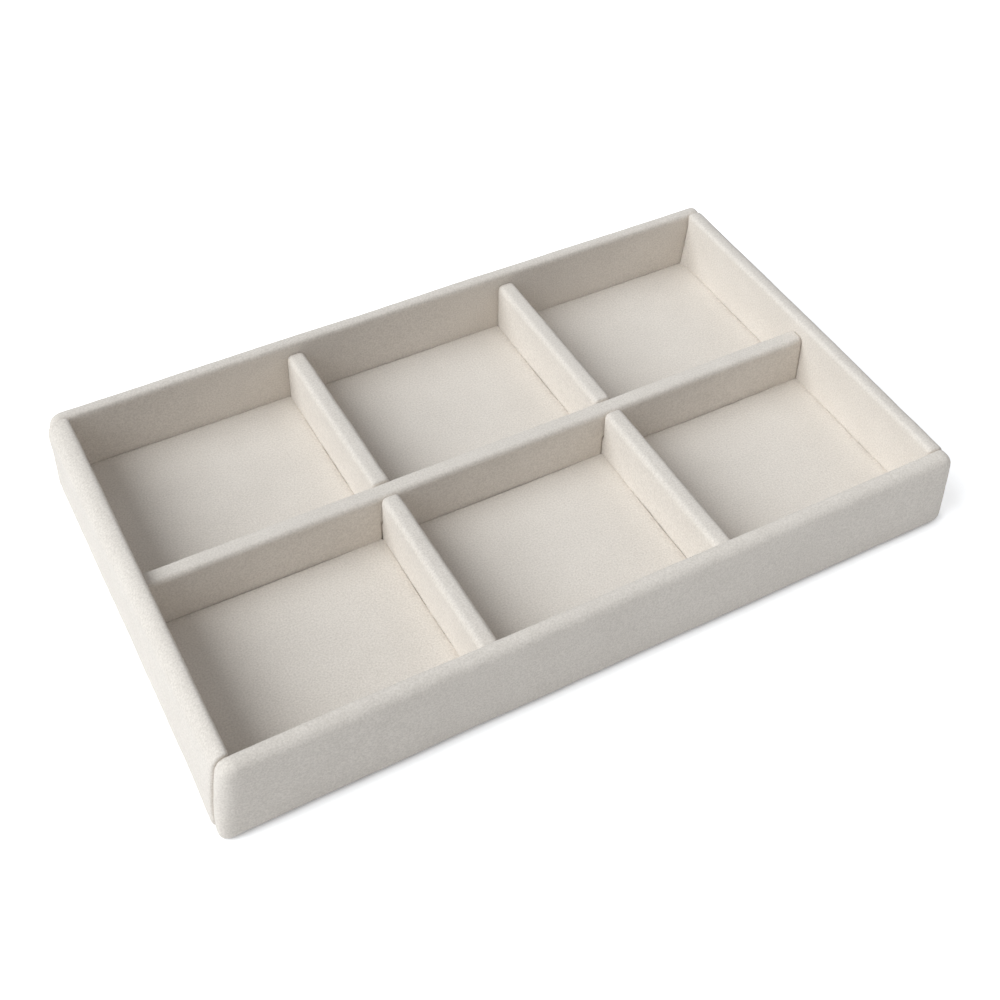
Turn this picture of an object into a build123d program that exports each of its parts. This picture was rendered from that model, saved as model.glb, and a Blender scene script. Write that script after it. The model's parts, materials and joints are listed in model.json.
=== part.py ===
import os

from build123d import *

os.makedirs("parts", exist_ok=True)

# Jewelry tray: boards padded with foam and wrapped in velvet, two rows of three compartments.
# Millimetres. X runs along the tray, Y from its front to its back, Z up. The origin is on the
# table, under the middle of the tray.

# Whole tray
tray_length = 240.0
tray_width = 150.0
tray_height = 30.0
columns = ["left", "middle", "right"]
rows = ["front", "back"]

# Velvet that every padded piece is wrapped in, and the bare stripe under a strip's foot
velvet_thickness = 0.6
foot_opening_share = 0.34

# Outer walls: the front and back walls run the whole length, the side walls stand between them
wall_board_thickness = 3.0
wall_foam_thickness = 0.7
wall_outer_top_share = 0.85
wall_inner_top_share = 0.1
wall_corner_share = 0.9
wall_end_top_share = 1.35
wall_end_foot_share = 0.8

# Dividers: one long, two across, halved into each other where they cross
divider_height = 25.4
divider_board_thickness = 3.0
divider_foam_thickness = 0.9
divider_top_share = 0.21
halving_share = 0.5
halving_clearance = 0.1

# Base board inside the walls, and the felt lining glued under it
base_board_thickness = 3.0
base_glue_gap = 0.1
lining_thickness = 0.8
lining_inset = 2.5
lining_corner_radius = 4.0

# Floor pads: a card with thin foam, wrapped in velvet and laid in each compartment
pad_gap = 0.4
pad_card_thickness = 1.0
pad_foam_thickness = 1.5
pad_edge_radius = 1.2
pad_foam_bevel_share = 0.3
pad_turn_in = 8.0

# Rounded arrises of the wall and divider boards
board_arris = 0.4

# How far a cutting shape runs past what it cuts
cut_overrun = 1.0

# Heights that follow from the stack on the table, up from the lining and down from the wall tops
base_top = lining_thickness + base_board_thickness
pad_bottom = base_top
wall_foot = lining_thickness + velvet_thickness
wall_padding = wall_foam_thickness + velvet_thickness
wall_board_top = tray_height - wall_padding

# Wall and divider thicknesses over the foam and over the velvet
wall_core_thickness = wall_board_thickness + 2 * wall_foam_thickness
wall_thickness = wall_core_thickness + 2 * velvet_thickness
divider_core_thickness = divider_board_thickness + 2 * divider_foam_thickness
divider_thickness = divider_core_thickness + 2 * velvet_thickness

# Clear inside of the walls, shared out among the compartments
inner_length = tray_length - 2 * wall_thickness
inner_width = tray_width - 2 * wall_thickness
cell_length = (inner_length - (len(columns) - 1) * divider_thickness) / len(columns)
cell_width = (inner_width - (len(rows) - 1) * divider_thickness) / len(rows)
column_pitch = cell_length + divider_thickness
row_pitch = cell_width + divider_thickness
column_centres = [(i - (len(columns) - 1) / 2) * column_pitch for i in range(len(columns))]
row_centres = [(i - (len(rows) - 1) / 2) * row_pitch for i in range(len(rows))]
cross_centres = [(a + b) / 2 for a, b in zip(column_centres, column_centres[1:])]


# A wall's board, or with padding the shape over its foam or its velvet. It lies along X with its
# outer face towards -Y. Rounded ends are the meeting of three outlines: the section, the plan with
# its outer corners rounded, and the face with its ends rounded; flat ends stand against a wall.
def wall_form(length, bottom, padding, rounded_ends):
    thickness = wall_board_thickness + 2 * padding
    top = wall_board_top + padding
    middle = (bottom + top) / 2
    foot_wrap = wall_foot - bottom
    with BuildPart() as form:
        with BuildSketch(Plane.YZ) as section:
            with Locations((0, middle)):
                Rectangle(thickness, top - bottom)
            upper_corners = section.vertices().group_by(Axis.Y)[-1].sort_by(Axis.X)
            fillet(upper_corners[0], wall_board_thickness * wall_outer_top_share + padding)
            fillet(upper_corners[-1], wall_board_thickness * wall_inner_top_share + padding)
            fillet(section.vertices().group_by(Axis.Y)[0], board_arris + foot_wrap)
        extrude(amount=length / 2, both=True)
        if rounded_ends:
            with BuildSketch(Plane.XY.offset(bottom)) as outline:
                Rectangle(length, thickness)
                outer_corners = outline.vertices().group_by(Axis.Y)[0]
                fillet(outer_corners, wall_board_thickness * wall_corner_share + padding)
            extrude(amount=top - bottom, mode=Mode.INTERSECT)
            with BuildSketch(Plane.XZ) as face:
                with Locations((0, middle)):
                    Rectangle(length, top - bottom)
                upper_ends = face.vertices().group_by(Axis.Y)[-1]
                fillet(upper_ends, wall_board_thickness * wall_end_top_share + padding)
                lower_ends = face.vertices().group_by(Axis.Y)[0]
                fillet(lower_ends, wall_board_thickness * wall_end_foot_share + foot_wrap)
            extrude(amount=thickness / 2, both=True, mode=Mode.INTERSECT)
    return form.part


# A divider's board, foam or velvet: a strip along X with flat ends, which stand against the walls
def divider_form(length, thickness, bottom, top, top_radius, foot_radius):
    with BuildPart() as form:
        with BuildSketch(Plane.YZ) as section:
            with Locations((0, (bottom + top) / 2)):
                Rectangle(thickness, top - bottom)
            fillet(section.vertices().group_by(Axis.Y)[-1], top_radius)
            fillet(section.vertices().group_by(Axis.Y)[0], foot_radius)
        extrude(amount=length / 2, both=True)
    return form.part


# The bare stripe under a strip's foot, where the folded edges of the velvet don't meet
def foot_opening(length, thickness, low):
    with BuildPart() as opening:
        with BuildSketch(Plane.XY.offset(low - cut_overrun)):
            Rectangle(length, thickness * foot_opening_share)
        extrude(amount=velvet_thickness + cut_overrun)
    return opening.part


# Each of the four walls: its place, its length over the velvet, and whether its ends are wrapped
# in foam and rounded or stand flat against the long walls
wall_middle = wall_thickness / 2
to_front_edge = tray_width / 2 - wall_middle
to_side_edge = tray_length / 2 - wall_middle
walls = {
    "front_wall": (Location((0, -to_front_edge, 0)), tray_length, True),
    "back_wall": (Location((0, to_front_edge, 0), (0, 0, 180)), tray_length, True),
    "left_wall": (Location((-to_side_edge, 0, 0), (0, 0, -90)), inner_width, False),
    "right_wall": (Location((to_side_edge, 0, 0), (0, 0, 90)), inner_width, False),
}

for name, (place, length, rounded_ends) in walls.items():
    core_length = length - 2 * velvet_thickness
    board_length = core_length - 2 * wall_foam_thickness * rounded_ends
    stiffener = wall_form(board_length, wall_foot, 0, rounded_ends)
    core = wall_form(core_length, wall_foot, wall_foam_thickness, rounded_ends)
    wrapped = wall_form(length, lining_thickness, wall_padding, rounded_ends)
    opening = foot_opening(core_length, wall_thickness, lining_thickness)

    with BuildPart() as wall_board:
        with Locations(place):
            add(stiffener)
    wall_board.part.label = f"{name}_board"
    export_step(wall_board.part, f"parts/{name}_board.step")

    with BuildPart() as wall_foam:
        with Locations(place):
            add(core)
            add(stiffener, mode=Mode.SUBTRACT)
    wall_foam.part.label = f"{name}_foam"
    export_step(wall_foam.part, f"parts/{name}_foam.step")

    with BuildPart() as wall_cover:
        with Locations(place):
            add(wrapped)
            add(core, mode=Mode.SUBTRACT)
            add(opening, mode=Mode.SUBTRACT)
    wall_cover.part.label = f"{name}_cover"
    export_step(wall_cover.part, f"parts/{name}_cover.step")

# Each divider: its place and its length over the velvet
dividers = {"long_divider": (Location((0, 0, 0)), inner_length)}
for side, centre in zip(["left", "right"], cross_centres):
    dividers[f"{side}_cross_divider"] = (Location((centre, 0, 0), (0, 0, 90)), inner_width)
divider_foot = base_top + velvet_thickness
divider_core_top = divider_height - velvet_thickness
divider_core_top_radius = divider_core_thickness * divider_top_share

# The dividers across are slotted from above and the long divider from below, so its top runs
# through unbroken
halving_level = base_top + (divider_height - base_top) * halving_share
slot_width = divider_thickness + 2 * halving_clearance
slot_run = divider_thickness + 2 * cut_overrun
crossings = Locations(*[(centre, 0) for centre in cross_centres])

with BuildPart() as slots_from_above:
    with BuildSketch(Plane.XY.offset(halving_level)):
        with crossings:
            Rectangle(slot_run, slot_width)
    extrude(amount=divider_height - halving_level + cut_overrun)

with BuildPart() as slots_from_below:
    with BuildSketch(Plane.XY.offset(base_top - cut_overrun)):
        with crossings:
            Rectangle(slot_width, slot_run)
    extrude(amount=halving_level + halving_clearance - base_top + cut_overrun)

for name, (place, length) in dividers.items():
    slots = slots_from_below if name == "long_divider" else slots_from_above
    core_length = length - 2 * velvet_thickness
    stiffener = divider_form(
        core_length,
        divider_board_thickness,
        divider_foot,
        divider_core_top - divider_foam_thickness,
        board_arris,
        board_arris,
    )
    core = divider_form(
        core_length,
        divider_core_thickness,
        divider_foot,
        divider_core_top,
        divider_core_top_radius,
        board_arris,
    )
    wrapped = divider_form(
        length,
        divider_thickness,
        base_top,
        divider_height,
        divider_core_top_radius + velvet_thickness,
        board_arris + velvet_thickness,
    )
    opening = foot_opening(core_length, divider_thickness, base_top)

    with BuildPart() as divider_board:
        with Locations(place):
            add(stiffener)
        add(slots.part, mode=Mode.SUBTRACT)
    divider_board.part.label = f"{name}_board"
    export_step(divider_board.part, f"parts/{name}_board.step")

    with BuildPart() as divider_foam:
        with Locations(place):
            add(core)
            add(stiffener, mode=Mode.SUBTRACT)
        add(slots.part, mode=Mode.SUBTRACT)
    divider_foam.part.label = f"{name}_foam"
    export_step(divider_foam.part, f"parts/{name}_foam.step")

    with BuildPart() as divider_cover:
        with Locations(place):
            add(wrapped)
            add(core, mode=Mode.SUBTRACT)
            add(opening, mode=Mode.SUBTRACT)
        add(slots.part, mode=Mode.SUBTRACT)
    divider_cover.part.label = f"{name}_cover"
    export_step(divider_cover.part, f"parts/{name}_cover.step")

# Base board that the dividers and pads stand on
with BuildPart() as base_board:
    with BuildSketch(Plane.XY.offset(lining_thickness)):
        Rectangle(inner_length - 2 * base_glue_gap, inner_width - 2 * base_glue_gap)
    extrude(amount=base_board_thickness)
base_board.part.label = "base_board"
export_step(base_board.part, "parts/base_board.step")

# Lining under the tray: it hides the folded velvet and holds the walls a little off the table
with BuildPart() as underside_lining:
    with BuildSketch():
        RectangleRounded(
            tray_length - 2 * lining_inset, tray_width - 2 * lining_inset, lining_corner_radius
        )
    extrude(amount=lining_thickness)
underside_lining.part.label = "underside_lining"
export_step(underside_lining.part, "parts/underside_lining.step")

# Each pad's sizes, its card's place in the stack, and its outline with or without the velvet's wrap
pad_length = cell_length - 2 * pad_gap
pad_width = cell_width - 2 * pad_gap
card_length = pad_length - 2 * velvet_thickness
card_width = pad_width - 2 * velvet_thickness
pad_core_height = pad_card_thickness + pad_foam_thickness
card_bottom = pad_bottom + velvet_thickness
card_top = card_bottom + pad_card_thickness


def padded_panel(wrap):
    with BuildPart() as panel:
        with BuildSketch(Plane.XY.offset(card_bottom - wrap)):
            Rectangle(card_length + 2 * wrap, card_width + 2 * wrap)
        extrude(amount=pad_core_height + 2 * wrap)
    return panel.part


with BuildPart() as pad_core:
    add(padded_panel(0))
    top_edges = pad_core.faces().sort_by(Axis.Z)[-1].edges()
    chamfer(top_edges, pad_foam_bevel_share * pad_edge_radius)

with BuildPart() as pad_wrapped:
    add(padded_panel(velvet_thickness))
    top_edges = pad_wrapped.faces().sort_by(Axis.Z)[-1].edges()
    fillet(top_edges, pad_edge_radius)

for row, row_centre in zip(rows, row_centres):
    for column, column_centre in zip(columns, column_centres):
        name = f"{row}_{column}_pad"
        place = Location((column_centre, row_centre, 0))

        with BuildPart() as pad_card:
            with BuildSketch(Plane.XY.offset(card_bottom)):
                with Locations((column_centre, row_centre)):
                    Rectangle(card_length, card_width)
            extrude(amount=pad_card_thickness)
        pad_card.part.label = f"{name}_card"
        export_step(pad_card.part, f"parts/{name}_card.step")

        with BuildPart() as pad_foam:
            with Locations(place):
                add(pad_core.part)
            add(pad_card.part, mode=Mode.SUBTRACT)
        pad_foam.part.label = f"{name}_foam"
        export_step(pad_foam.part, f"parts/{name}_foam.step")

        with BuildPart() as pad_cover:
            with Locations(place):
                add(pad_wrapped.part)
                add(pad_core.part, mode=Mode.SUBTRACT)
            with BuildSketch(Plane.XY.offset(pad_bottom)):
                with Locations((column_centre, row_centre)):
                    Rectangle(pad_length - 2 * pad_turn_in, pad_width - 2 * pad_turn_in)
            extrude(amount=velvet_thickness, mode=Mode.SUBTRACT)
        pad_cover.part.label = f"{name}_cover"
        export_step(pad_cover.part, f"parts/{name}_cover.step")

print("walls", wall_thickness, "dividers", divider_thickness)
print("compartments", cell_length, "by", cell_width, "floor at", card_top + pad_foam_thickness + velvet_thickness)
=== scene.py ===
import json
import math

import bmesh
import bpy
from mathutils import Euler, Matrix, Vector, noise


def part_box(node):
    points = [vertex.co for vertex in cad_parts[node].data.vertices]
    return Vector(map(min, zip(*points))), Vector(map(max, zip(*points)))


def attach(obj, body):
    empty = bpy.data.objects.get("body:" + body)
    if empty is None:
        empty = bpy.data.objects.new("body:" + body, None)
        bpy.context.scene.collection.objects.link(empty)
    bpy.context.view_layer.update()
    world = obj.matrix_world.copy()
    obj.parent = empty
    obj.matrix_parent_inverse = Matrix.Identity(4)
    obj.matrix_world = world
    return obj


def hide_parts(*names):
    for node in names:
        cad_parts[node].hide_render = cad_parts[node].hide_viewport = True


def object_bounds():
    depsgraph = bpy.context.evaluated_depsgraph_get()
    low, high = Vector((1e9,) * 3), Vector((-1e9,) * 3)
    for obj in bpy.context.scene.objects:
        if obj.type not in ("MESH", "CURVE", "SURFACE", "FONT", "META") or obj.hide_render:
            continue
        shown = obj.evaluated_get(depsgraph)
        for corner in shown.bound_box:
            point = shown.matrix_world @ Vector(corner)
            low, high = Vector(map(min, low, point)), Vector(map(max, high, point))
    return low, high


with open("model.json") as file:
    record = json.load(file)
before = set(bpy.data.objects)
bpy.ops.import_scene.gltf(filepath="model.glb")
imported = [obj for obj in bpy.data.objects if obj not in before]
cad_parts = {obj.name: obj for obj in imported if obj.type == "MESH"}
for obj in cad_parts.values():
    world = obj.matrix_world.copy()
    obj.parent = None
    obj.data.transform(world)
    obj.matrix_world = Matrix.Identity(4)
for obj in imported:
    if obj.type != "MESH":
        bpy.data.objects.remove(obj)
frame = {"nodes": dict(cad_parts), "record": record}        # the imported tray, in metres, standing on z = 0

mm = 0.001
nearZero = 1e-9
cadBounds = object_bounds()
scene = bpy.context.scene


def ease(value):
    value = min(1.0, max(0.0, value))
    return value * value * (3 - 2 * value)


def objectFrom(bm, name):
    mesh = bpy.data.meshes.new(name)
    bm.to_mesh(mesh)
    bm.free()
    obj = bpy.data.objects.new(name, mesh)
    scene.collection.objects.link(obj)
    return obj


def meshWithModifiers(obj):
    depsgraph = bpy.context.evaluated_depsgraph_get()
    shaped = bpy.data.meshes.new_from_object(obj.evaluated_get(depsgraph))
    old = obj.data
    obj.modifiers.clear()
    obj.data = shaped
    bpy.data.meshes.remove(old)


def placeMesh(obj, turn, spot):
    bm = bmesh.new()
    bm.from_mesh(obj.data)
    turned = Matrix.Rotation(math.radians(turn), 3, "Z")
    bmesh.ops.rotate(bm, cent=(0, 0, 0), matrix=turned, verts=bm.verts)
    bmesh.ops.translate(bm, vec=spot, verts=bm.verts)
    bm.to_mesh(obj.data)
    bm.free()


def localBox(node, turn):
    # a strip's corners about its own middle, turned so that it lies along X
    low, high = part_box(node)
    middle = Vector(((low.x + high.x) / 2, (low.y + high.y) / 2, 0))
    half = (high - low) / 2
    if turn % 180:
        half.x, half.y = half.y, half.x
    return Vector((-half.x, -half.y, low.z)), Vector((half.x, half.y, high.z)), middle


# Materials: one pile pattern, with its own values in each of them

napLook = {
    "fibreDetail": 2.0,
    "patchDetail": 3.0,
    "grain": 0.6,                  # how strong the finer layers of both patterns are
    "roughness": (0.82, 1.0),      # between the fibres and on them
}


def newGroup(name, inputs, outputs):
    group = bpy.data.node_groups.new(name, "ShaderNodeTree")
    for label, kind, value in inputs:
        socket = group.interface.new_socket(name=label, in_out="INPUT", socket_type=kind)
        socket.default_value = value
    for label, kind in outputs:
        group.interface.new_socket(name=label, in_out="OUTPUT", socket_type=kind)
    return group, group.nodes.new("NodeGroupInput"), group.nodes.new("NodeGroupOutput")


def addNode(tree, kind, values=None, **settings):
    node = tree.nodes.new(kind)
    for key, value in settings.items():
        setattr(node, key, value)
    for key, value in (values or {}).items():
        node.inputs[key].default_value = value
    return node


def addMath(tree, operation, first, second, clamp=False):
    # each of the two is a plain number or another node's output
    node = addNode(tree, "ShaderNodeMath", operation=operation, use_clamp=clamp)
    for socket, value in zip(node.inputs, (first, second)):
        if isinstance(value, (int, float)):
            socket.default_value = value
        else:
            tree.links.new(value, socket)
    return node.outputs[0]


def addMix(tree, factor, first, second):
    mix = addNode(tree, "ShaderNodeMix", data_type="RGBA")
    tree.links.new(factor, mix.inputs["Factor"])
    tree.links.new(first, mix.inputs["A"])
    tree.links.new(second, mix.inputs["B"])
    return mix.outputs["Result"]


def napGroup():
    # short pile: fine fibre specks, brushed patches where the pile leans, and the specks' heights
    group, given, out = newGroup(
        "velvetNap",
        [
            ("Light", "NodeSocketColor", (0.8, 0.8, 0.8, 1)),
            ("Dark", "NodeSocketColor", (0.6, 0.6, 0.6, 1)),
            ("Fibre Size", "NodeSocketFloat", 0.4),       # mm
            ("Patch Size", "NodeSocketFloat", 12.0),      # mm
            ("Fibre Share", "NodeSocketFloat", 0.5),
            ("Patch Share", "NodeSocketFloat", 0.3),
        ],
        [("Color", "NodeSocketColor"), ("Roughness", "NodeSocketFloat"), ("Height", "NodeSocketFloat")],
    )
    link = group.links.new
    place = addNode(group, "ShaderNodeTexCoord")

    def patternAt(sizeSocket, detail):
        scale = addMath(group, "DIVIDE", 1 / mm, sizeSocket)
        pattern = addNode(group, "ShaderNodeTexNoise", {"Detail": detail, "Roughness": napLook["grain"]})
        link(place.outputs["Object"], pattern.inputs["Vector"])
        link(scale, pattern.inputs["Scale"])
        return pattern.outputs["Fac"]

    def spread(value, share):
        # share times the pattern's distance from its middle
        centred = addMath(group, "SUBTRACT", value, 0.5)
        return addMath(group, "MULTIPLY", centred, share)

    fibres = patternAt(given.outputs["Fibre Size"], napLook["fibreDetail"])
    patches = patternAt(given.outputs["Patch Size"], napLook["patchDetail"])
    fibreTone = spread(fibres, given.outputs["Fibre Share"])
    patchTone = spread(patches, given.outputs["Patch Share"])
    tone = addMath(group, "ADD", fibreTone, patchTone)
    factor = addMath(group, "ADD", tone, 0.5, clamp=True)
    colour = addMix(group, factor, given.outputs["Dark"], given.outputs["Light"])
    smoothest, roughest = napLook["roughness"]
    rough = addNode(group, "ShaderNodeMapRange", {"To Min": smoothest, "To Max": roughest})
    link(fibres, rough.inputs["Value"])
    link(colour, out.inputs["Color"])
    link(rough.outputs["Result"], out.inputs["Roughness"])
    link(fibres, out.inputs["Height"])
    return group


def coatMaterial(name, group, look):
    material = bpy.data.materials.new(name)
    material.use_nodes = True
    tree = material.node_tree
    shader = tree.nodes["Principled BSDF"]
    for key, value in look["shader"].items():
        shader.inputs[key].default_value = value
    pattern = addNode(tree, "ShaderNodeGroup", node_tree=group)
    for key, value in look["nap"].items():
        pattern.inputs[key].default_value = value
    bump = look["bump"]
    relief = addNode(tree, "ShaderNodeBump", {"Strength": bump["strength"], "Distance": bump["depth"] * mm})
    tree.links.new(pattern.outputs["Color"], shader.inputs["Base Color"])
    tree.links.new(pattern.outputs["Roughness"], shader.inputs["Roughness"])
    tree.links.new(pattern.outputs["Height"], relief.inputs["Height"])
    tree.links.new(relief.outputs["Normal"], shader.inputs["Normal"])
    return material


velvetLook = {
    "nap": {
        "Light": (0.810, 0.752, 0.682, 1),
        "Dark": (0.650, 0.596, 0.532, 1),
        "Fibre Size": 0.55,      # mm
        "Patch Size": 14.0,      # mm
        "Fibre Share": 2.6,
        "Patch Share": 0.5,
    },
    "bump": {"strength": 0.4, "depth": 0.25},      # depth in mm
    "shader": {"Sheen Weight": 0.25, "Sheen Roughness": 0.5, "Specular IOR Level": 0.2},
}
feltLook = {
    "nap": {
        "Light": (0.62, 0.59, 0.55, 1),
        "Dark": (0.44, 0.41, 0.38, 1),
        "Fibre Size": 0.9,
        "Patch Size": 6.0,
        "Fibre Share": 1.4,
        "Patch Share": 0.6,
    },
    "bump": {"strength": 0.5, "depth": 0.3},
    "shader": {"Specular IOR Level": 0.2},
}
boardLook = {
    "nap": {
        "Light": (0.50, 0.37, 0.24, 1),
        "Dark": (0.33, 0.23, 0.14, 1),
        "Fibre Size": 0.7,
        "Patch Size": 5.0,
        "Fibre Share": 1.3,
        "Patch Share": 0.4,
    },
    "bump": {"strength": 0.3, "depth": 0.1},
    "shader": {"Specular IOR Level": 0.3},
}
cardLook = {
    "nap": {
        "Light": (0.52, 0.50, 0.46, 1),
        "Dark": (0.40, 0.38, 0.35, 1),
        "Fibre Size": 0.5,
        "Patch Size": 4.0,
        "Fibre Share": 1.0,
        "Patch Share": 0.4,
    },
    "bump": {"strength": 0.2, "depth": 0.05},
    "shader": {"Specular IOR Level": 0.3},
}

pile = napGroup()
velvet = coatMaterial("velvet", pile, velvetLook)
felt = coatMaterial("felt", pile, feltLook)
board = coatMaterial("fibreboard", pile, boardLook)
card = coatMaterial("greyCard", pile, cardLook)
print("materials made")


# Velvet skin: a strip starts as blocks whose edges carry their own rounding. They become one skin,
# which is softened like cloth over foam

skinLook = {
    "segments": 8,
    "voxel": 0.6,           # mm
    "softening": 3,
    "fill": 0.95,
    "swells": ((34.0, 0.16), (10.0, 0.09), (4.0, 0.06)),      # wave length and height, mm
}
swellSteps = (0.37, 0.61, 0.83)      # from one piece's swells to the next one's, so that none are alike


def edgeKind(spot):
    if abs(spot.x) < nearZero:      # runs along the strip
        if spot.z < 0:
            return "foot"
        return "outerTop" if spot.y < 0 else "innerTop"
    if abs(spot.z) < nearZero:      # stands upright at an end
        return "endOuter" if spot.y < 0 else "endInner"
    return "endTop" if spot.z > 0 else "endFoot"


def addBlock(bm, low, high, rounding, widest):
    weights = bm.edges.layers.float
    weight = weights.get("bevel_weight_edge") or weights.new("bevel_weight_edge")
    verts = bmesh.ops.create_cube(bm, size=1.0)["verts"]
    for edge in {e for v in verts for e in v.link_edges}:
        spot = (edge.verts[0].co + edge.verts[1].co) / 2
        radius = rounding[edgeKind(spot)]
        if isinstance(radius, tuple):      # one for each end of the strip
            radius = radius[0] if spot.x < 0 else radius[1]
        edge[weight] = radius * mm / widest
    bmesh.ops.scale(bm, vec=high - low, verts=verts)
    bmesh.ops.translate(bm, vec=(low + high) / 2, verts=verts)


def wrapBlocks(name, blocks, rounding):
    widest = max(max(r) if isinstance(r, tuple) else r for r in rounding.values()) * mm
    bm = bmesh.new()
    for low, high in blocks:
        addBlock(bm, low, high, rounding, widest)
    obj = objectFrom(bm, name)
    bevel = obj.modifiers.new("rounding", "BEVEL")
    bevel.limit_method = "WEIGHT"
    bevel.width = widest
    bevel.segments = skinLook["segments"]
    skin = obj.modifiers.new("skin", "REMESH")
    skin.mode = "VOXEL"
    skin.voxel_size = skinLook["voxel"] * mm
    soften = obj.modifiers.new("soften", "SMOOTH")
    soften.factor = 0.5
    soften.iterations = skinLook["softening"]
    meshWithModifiers(obj)
    return obj


def unevenSkin(obj, swells, seed):
    # the small swells of hand-stretched velvet over foam
    bm = bmesh.new()
    bm.from_mesh(obj.data)
    bm.normal_update()
    shift = Vector([seed * step for step in swellSteps])
    for vert in bm.verts:
        swell = 0.0
        for waveLength, height in swells:
            swell += height * noise.noise(vert.co / (waveLength * mm) + shift)
        vert.co += vert.normal * swell * mm
    for face in bm.faces:
        face.smooth = True
    bm.to_mesh(obj.data)
    bm.free()


def finishVelvet(obj, name):
    obj.data.materials.clear()
    obj.data.materials.append(velvet)
    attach(obj, "root")
    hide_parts(name + "_cover", name + "_foam")


# Hand work leaves the strips a little out of true. All lengths are in mm

# The velvet is pulled over the tray's two ends and turned in underneath, so their faces aren't quite
# upright: how far out each stands at its front and at its back
endLean = {
    "left": {"foot": (2.4, 0.4), "top": (-0.6, 0.5), "innerTop": (0.9, -1.2)},
    "right": {"foot": (1.5, 1.5), "top": (0.1, 0.4), "innerTop": (0.0, 0.0)},
}
# How much further in than that a piece's top stays at each end
endTuck = {
    "front_wall": {"left": 0.1, "right": 0.3},
    "back_wall": {"left": 1.1, "right": 0.8},
    "left_wall": {"left": -0.3},
}
# The left wall's foot spreads out beside the front left corner
footSpread = {"length": 30.0, "depth": 0.8}
# That corner is rounded at the top and squarer at the foot
squareFoot = {"radius": 4.8, "rise": 16.0, "growth": 0.18, "sharpness": 1.5}
# The velvet gathers in the back right corner, wider towards the foot
cornerFold = {"length": 7.0, "depth": 2.2, "top": 27.0}
topSink = {
    "backWall": 0.45,         # how much lower the back wall's top is
    "corner": 0.5,            # how much more all tops sink towards the back right corner
    "cornerStart": 0.15,      # where that starts, as a share of the way from the middle to the right end
    "archLength": 14.0,       # the left wall's top swells up at the back
    "archHeight": 0.5,
}


def squareCorner(obj):
    low, high = cadBounds
    radius, rise = squareFoot["radius"] * mm, squareFoot["rise"] * mm
    for vert in obj.data.vertices:
        x, y = low.x + radius - vert.co.x, low.y + radius - vert.co.y
        if x > 0 and y > 0:
            diagonal = 2 * x * y / (x * x + y * y)
            nearFoot = ease((rise - vert.co.z) / rise)
            grow = squareFoot["growth"] * diagonal ** squareFoot["sharpness"] * nearFoot
            vert.co.x -= x * grow
            vert.co.y -= y * grow


def foldCorner(obj):
    low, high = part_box("right_wall_cover")
    reach, top = cornerFold["length"] * mm, cornerFold["top"] * mm
    for vert in obj.data.vertices:
        inwards = 1 - (vert.co.x - low.x) / (high.x - low.x)
        near = ease(1 - (high.y - vert.co.y) / reach) ** 2
        vert.co.x -= cornerFold["depth"] * mm * max(0.0, inwards) * near * ease(1 - vert.co.z / top)


def leanEnds(obj, name):
    low, high = cadBounds
    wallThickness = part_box("left_wall_cover")[1].x - low.x
    for vert in obj.data.vertices:
        side, outwards = ("left", -1) if vert.co.x < 0 else ("right", 1)
        along = (vert.co.y - low.y) / (high.y - low.y)
        foot, top, innerTop = (front + (back - front) * along for front, back in endLean[side].values())
        top -= endTuck.get(name, {}).get(side, 0.0)
        share = min(1.0, max(0.0, (abs(vert.co.x) - high.x) / wallThickness + 1))
        climb = (vert.co.z / high.z) ** 2
        shift = (foot + (top - foot) * climb) * share
        if name == side + "_wall":
            shift += innerTop * climb * (1 - share)
        if name == "left_wall":
            near = ease(1 - (vert.co.y - low.y) / (footSpread["length"] * mm))
            shift += footSpread["depth"] * near * (1 - climb) * share
        vert.co.x += outwards * shift * mm


def sinkTop(obj, name):
    high = cadBounds[1]
    start = topSink["cornerStart"]
    for vert in obj.data.vertices:
        towardsRight = ease((vert.co.x / high.x - start) / (1 - start))
        sink = topSink["corner"] * towardsRight * ease(vert.co.y / high.y)
        if name == "back_wall":
            sink += topSink["backWall"]
        if name == "left_wall":
            sink -= topSink["archHeight"] * ease(1 - (high.y - vert.co.y) / (topSink["archLength"] * mm))
        vert.co.z -= sink * mm * (vert.co.z / high.z) ** 2


def dressStrip(name, turn, blocks, rounding, middle, seed):
    piece = wrapBlocks(name + "_velvet", blocks, rounding)
    unevenSkin(piece, skinLook["swells"], seed)
    placeMesh(piece, turn, middle)
    if name == "front_wall":
        squareCorner(piece)
    if name == "right_wall":
        foldCorner(piece)
    leanEnds(piece, name)
    sinkTop(piece, name)
    finishVelvet(piece, name)


# Walls: the long ones have wrapped, rounded ends, the side walls stand between them

frontWallRounding = {      # mm; a pair is for the strip's two ends
    "outerTop": 3.3,
    "innerTop": 1.7,
    "foot": 1.8,
    "endOuter": (4.8, 2.6),
    "endInner": 0.9,
    "endTop": (5.0, 3.2),
    "endFoot": (1.2, 2.4),
}
backWallRounding = {
    "outerTop": 3.85,
    "innerTop": 1.7,
    "foot": 1.0,
    "endOuter": (2.0, 4.6),
    "endInner": 0.9,
    "endTop": (1.8, 5.0),
    "endFoot": 1.2,
}
leftWallRounding = {
    "outerTop": 4.4,
    "innerTop": 1.1,
    "foot": 1.0,
    "endOuter": 1.2,
    "endInner": 1.0,
    "endTop": 0.9,
    "endFoot": 0.6,
}
rightWallRounding = {**leftWallRounding, "outerTop": 3.0}
walls = {      # degrees that turn each one's outer face outwards
    "front_wall": (0, frontWallRounding),
    "back_wall": (180, backWallRounding),
    "left_wall": (-90, leftWallRounding),
    "right_wall": (90, rightWallRounding),
}

for seed, (name, (turn, rounding)) in enumerate(walls.items(), 1):
    low, high, middle = localBox(name + "_cover", turn)
    dressStrip(name, turn, [(low, high)], rounding, middle, seed)
print("walls wrapped")


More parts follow.
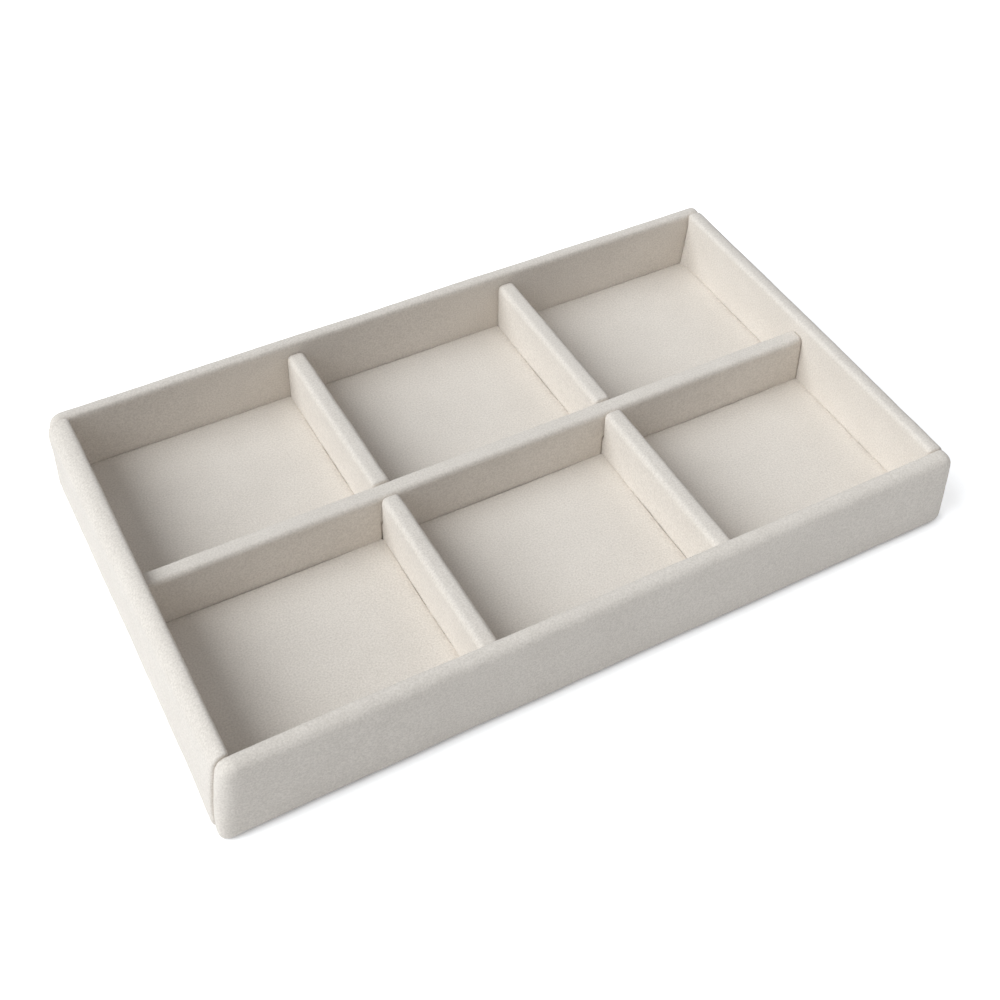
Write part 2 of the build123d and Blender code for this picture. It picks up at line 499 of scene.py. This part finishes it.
# Dividers: halved where they cross, so the long one's top runs through unbroken

dividerRounding = {      # mm
    "outerTop": 1.7,
    "innerTop": 1.7,
    "foot": 1.0,
    "endOuter": 0.3,
    "endInner": 0.3,
    "endTop": 0.7,
    "endFoot": 0.4,
}
halving = {
    "clearance": 0.1,      # mm
    "squeeze": 0.15,       # the velvet of the two is pressed together in the slots, mm
    "lap": 4,              # how far the long divider's lower blocks reach up into its top, in voxels
}
dividers = {"long_divider": 0, "left_cross_divider": 90, "right_cross_divider": 90}


def longDividerBlocks(low, high, crossings, slotHalf):
    level = (low.z + high.z) / 2
    lap = halving["lap"] * skinLook["voxel"] * mm
    squeeze = halving["squeeze"] * mm
    blocks = [(Vector((low.x, low.y, level + halving["clearance"] * mm)), high)]
    starts = [low.x] + [x + slotHalf - squeeze for x in crossings]
    ends = [x - slotHalf + squeeze for x in crossings] + [high.x]
    for start, end in zip(starts, ends):
        blocks.append((Vector((start, low.y, low.z)), Vector((end, high.y, level + lap))))
    return blocks


def crossDividerBlocks(low, high, slotHalf):
    # the web under the slot reaches a little into both arms
    level = (low.z + high.z) / 2
    web = (Vector((-2 * slotHalf, low.y, low.z)), Vector((2 * slotHalf, high.y, level)))
    frontArm = (low, Vector((-slotHalf, high.y, high.z)))
    backArm = (Vector((slotHalf, low.y, low.z)), high)
    return [frontArm, backArm, web]


crossCentres = []
for name in ("left_cross_divider_cover", "right_cross_divider_cover"):
    low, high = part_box(name)
    crossCentres.append((low.x + high.x) / 2)
for seed, (name, turn) in enumerate(dividers.items(), 11):
    low, high, middle = localBox(name + "_cover", turn)
    slotHalf = high.y + halving["clearance"] * mm
    if name == "long_divider":
        blocks = longDividerBlocks(low, high, crossCentres, slotHalf)
    else:
        blocks = crossDividerBlocks(low, high, slotHalf)
    dressStrip(name, turn, blocks, dividerRounding, middle, seed)
print("dividers wrapped")


# Floor pads: thin foam on card, swelled a little under the velvet

padLook = {
    "cells": 38,           # divisions along each side
    "spread": 0.7,         # how much further than its box a pad reaches towards the walls, mm
    "corner": 1.0,         # rounding in plan, mm
    "edge": 0.3,           # rounding along the top and foot, mm
    "segments": 3,
    "sharp": 50,           # only edges that bend more than this are rounded, degrees
    "sink": 0.25,          # how much lower the block starts than the finished crown, mm
    "pressure": 4.0,
    "frames": 12,
    "mostMove": 0.45,      # mm
    "fill": 0.9,
    "swells": ((40.0, 0.10), (12.0, 0.05)),
}


def roundEdges(bm, radius, wanted):
    sharpest = math.radians(padLook["sharp"])
    sharp = [edge for edge in bm.edges if wanted(edge) and edge.calc_face_angle(0) > sharpest]
    bmesh.ops.bevel(bm, geom=sharp, offset=radius * mm, offset_type="OFFSET", segments=padLook["segments"],
                    profile=0.5, affect="EDGES", material=-1)


def padBlock(name, low, high):
    # two grids joined round their rims, then rounded, so that the cloth has even cells to bend
    size, middle = high - low, (low + high) / 2
    cells = padLook["cells"]
    bm = bmesh.new()
    for z in (high.z, low.z):
        verts = bmesh.ops.create_grid(bm, x_segments=cells, y_segments=cells, size=0.5)["verts"]
        bmesh.ops.scale(bm, vec=(size.x, size.y, 1), verts=verts)
        bmesh.ops.translate(bm, vec=(middle.x, middle.y, z), verts=verts)
    bmesh.ops.bridge_loops(bm, edges=[edge for edge in bm.edges if edge.is_boundary])
    bmesh.ops.recalc_face_normals(bm, faces=bm.faces)

    def isUpright(edge):
        return abs(edge.verts[0].co.z - edge.verts[1].co.z) > size.z / 2

    roundEdges(bm, padLook["corner"], isUpright)
    roundEdges(bm, padLook["edge"], lambda edge: not isUpright(edge))
    return objectFrom(bm, name)


def swellPad(obj):
    # cloth under pressure, with every point kept near its start
    start = [v.co.copy() for v in obj.data.vertices]
    foot = min(co.z for co in start)
    cloth = obj.modifiers.new("swell", "CLOTH")
    cloth.settings.use_pressure = True
    cloth.settings.uniform_pressure_force = padLook["pressure"]
    cloth.settings.effector_weights.gravity = 0
    cloth.point_cache.frame_start = 1
    cloth.point_cache.frame_end = padLook["frames"]
    for step in range(1, padLook["frames"] + 1):
        scene.frame_set(step)
    meshWithModifiers(obj)
    scene.frame_set(1)
    mostMove = padLook["mostMove"] * mm
    for vert, before in zip(obj.data.vertices, start):
        move = vert.co - before
        if move.length > mostMove:
            move *= mostMove / move.length
        vert.co = before + move
        vert.co.z = max(vert.co.z, foot)


def makePad(name, seed):
    low, high, middle = localBox(name + "_cover", 0)
    reach = Vector((padLook["spread"] * mm, padLook["spread"] * mm, 0))
    sunk = Vector((0, 0, padLook["sink"] * mm))
    pad = padBlock(name + "_velvet", low - reach, high + reach - sunk)
    swellPad(pad)
    unevenSkin(pad, padLook["swells"], seed)
    fine = pad.modifiers.new("fine", "SUBSURF")
    fine.levels = 1
    fine.render_levels = 1
    placeMesh(pad, 0, middle)
    finishVelvet(pad, name)


padNames = [f"{row}_{column}_pad" for row in ("front", "back") for column in ("left", "middle", "right")]
for seed, name in enumerate(padNames, 21):
    makePad(name, seed)
print("pads swelled")


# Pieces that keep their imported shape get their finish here

finishes = {"board": board, "card": card, "lining": felt}
slots = {part["node"]: part["material_slot"] for part in frame["record"]["subparts"]}
for name, node in frame["nodes"].items():
    if slots.get(name) in finishes:
        node.data.materials.clear()
        node.data.materials.append(finishes[slots[name]])
print("boards, cards and lining finished")


# Floor, light and camera

white = (1, 1, 1, 1)
stageLook = {
    "floorSize": 6.0,           # m
    "floorColour": (0.92, 0.92, 0.92, 1),
    "floorRoughness": 0.9,
    "lift": 0.52,               # glow that keeps the floor near white in the picture
    "paintedShadeReach": 0.004,      # how far from the tray's foot the floor's glow is dimmed into a painted contact shadow, m
}
worldLook = {"ambient": 0.28, "tint": (0.94, 0.96, 1.0, 1)}
keyLook = {"from": (-0.70, 0.08, 0.66), "strength": 2.87, "spread": 50, "colour": (0.93, 0.968, 1.0)}
fillLook = {"from": (0.7, -0.5, 0.7), "size": 0.6, "power": 1.2, "colour": (0.97, 0.98, 1.0)}
cameraLook = {
    "spot": (-168.89, -313.57, 380.41),     # mm
    "turn": (46.907, -2.599, -30.636),      # degrees
    "lens": 58.03,
    "sensor": 36,
    "shift": (-0.0982, -0.1044),
    "nearest": 0.01,                        # m
}


def seenByCamera(tree):
    # 1 for rays that show the background: straight on, in gloss, or through glass
    rays = addNode(tree, "ShaderNodeLightPath")
    seen = rays.outputs["Is Camera Ray"]
    for name in ("Is Glossy Ray", "Is Transmission Ray"):
        seen = addMath(tree, "ADD", seen, rays.outputs[name], clamp=True)
    return seen


def makeFloor():
    bm = bmesh.new()
    bmesh.ops.create_grid(bm, x_segments=1, y_segments=1, size=stageLook["floorSize"] / 2)
    floor = objectFrom(bm, "floor")
    material = bpy.data.materials.new("paleFloor")
    material.use_nodes = True
    tree = material.node_tree
    shader = tree.nodes["Principled BSDF"]
    shader.inputs["Base Color"].default_value = stageLook["floorColour"]
    shader.inputs["Roughness"].default_value = stageLook["floorRoughness"]
    shader.inputs["Specular IOR Level"].default_value = 0.0
    shader.inputs["Emission Color"].default_value = white
    lift = addMath(tree, "MULTIPLY", seenByCamera(tree), stageLook["lift"])
    # painted shade: ambient occlusion dims the floor's glow near the tray's foot, a painted contact shadow
    contact = addNode(tree, "ShaderNodeAmbientOcclusion", {"Distance": stageLook["paintedShadeReach"]})
    liftWithPaintedShade = addMath(tree, "MULTIPLY", lift, contact.outputs["AO"])
    tree.links.new(liftWithPaintedShade, shader.inputs["Emission Strength"])
    floor.data.materials.append(material)


def makeWorld():
    world = bpy.data.worlds.new("studio")
    scene.world = world
    world.use_nodes = True
    tree = world.node_tree
    background = tree.nodes["Background"]
    seen = seenByCamera(tree)
    lightColour = addNode(tree, "ShaderNodeRGB")
    lightColour.outputs[0].default_value = worldLook["tint"]
    seenColour = addNode(tree, "ShaderNodeRGB")
    seenColour.outputs[0].default_value = white
    colour = addMix(tree, seen, lightColour.outputs[0], seenColour.outputs[0])
    tree.links.new(colour, background.inputs["Color"])
    strength = addNode(tree, "ShaderNodeMapRange", {"To Min": worldLook["ambient"], "To Max": 1.0})
    tree.links.new(seen, strength.inputs["Value"])
    tree.links.new(strength.outputs["Result"], background.inputs["Strength"])


def makeLamps():
    key = bpy.data.lights.new("key", "SUN")
    key.energy = keyLook["strength"]
    key.angle = math.radians(keyLook["spread"])
    fill = bpy.data.lights.new("fill", "AREA")
    fill.energy = fillLook["power"]
    fill.size = fillLook["size"]
    for lamp, look in ((key, keyLook), (fill, fillLook)):
        lamp.color = look["colour"]
        obj = bpy.data.objects.new(lamp.name, lamp)
        obj.location = look["from"]
        obj.rotation_euler = (-Vector(look["from"])).to_track_quat("-Z", "Y").to_euler()
        scene.collection.objects.link(obj)


def makeCamera():
    data = bpy.data.cameras.new("camera")
    data.lens = cameraLook["lens"]
    data.sensor_width = cameraLook["sensor"]
    data.shift_x, data.shift_y = cameraLook["shift"]
    data.clip_start = cameraLook["nearest"]
    obj = bpy.data.objects.new("camera", data)
    obj.location = Vector(cameraLook["spot"]) * mm
    obj.rotation_euler = Euler([math.radians(angle) for angle in cameraLook["turn"]])
    scene.collection.objects.link(obj)
    scene.camera = obj


makeFloor()
makeWorld()
makeLamps()
makeCamera()
scene.view_settings.view_transform = "Standard"
print("stage set")
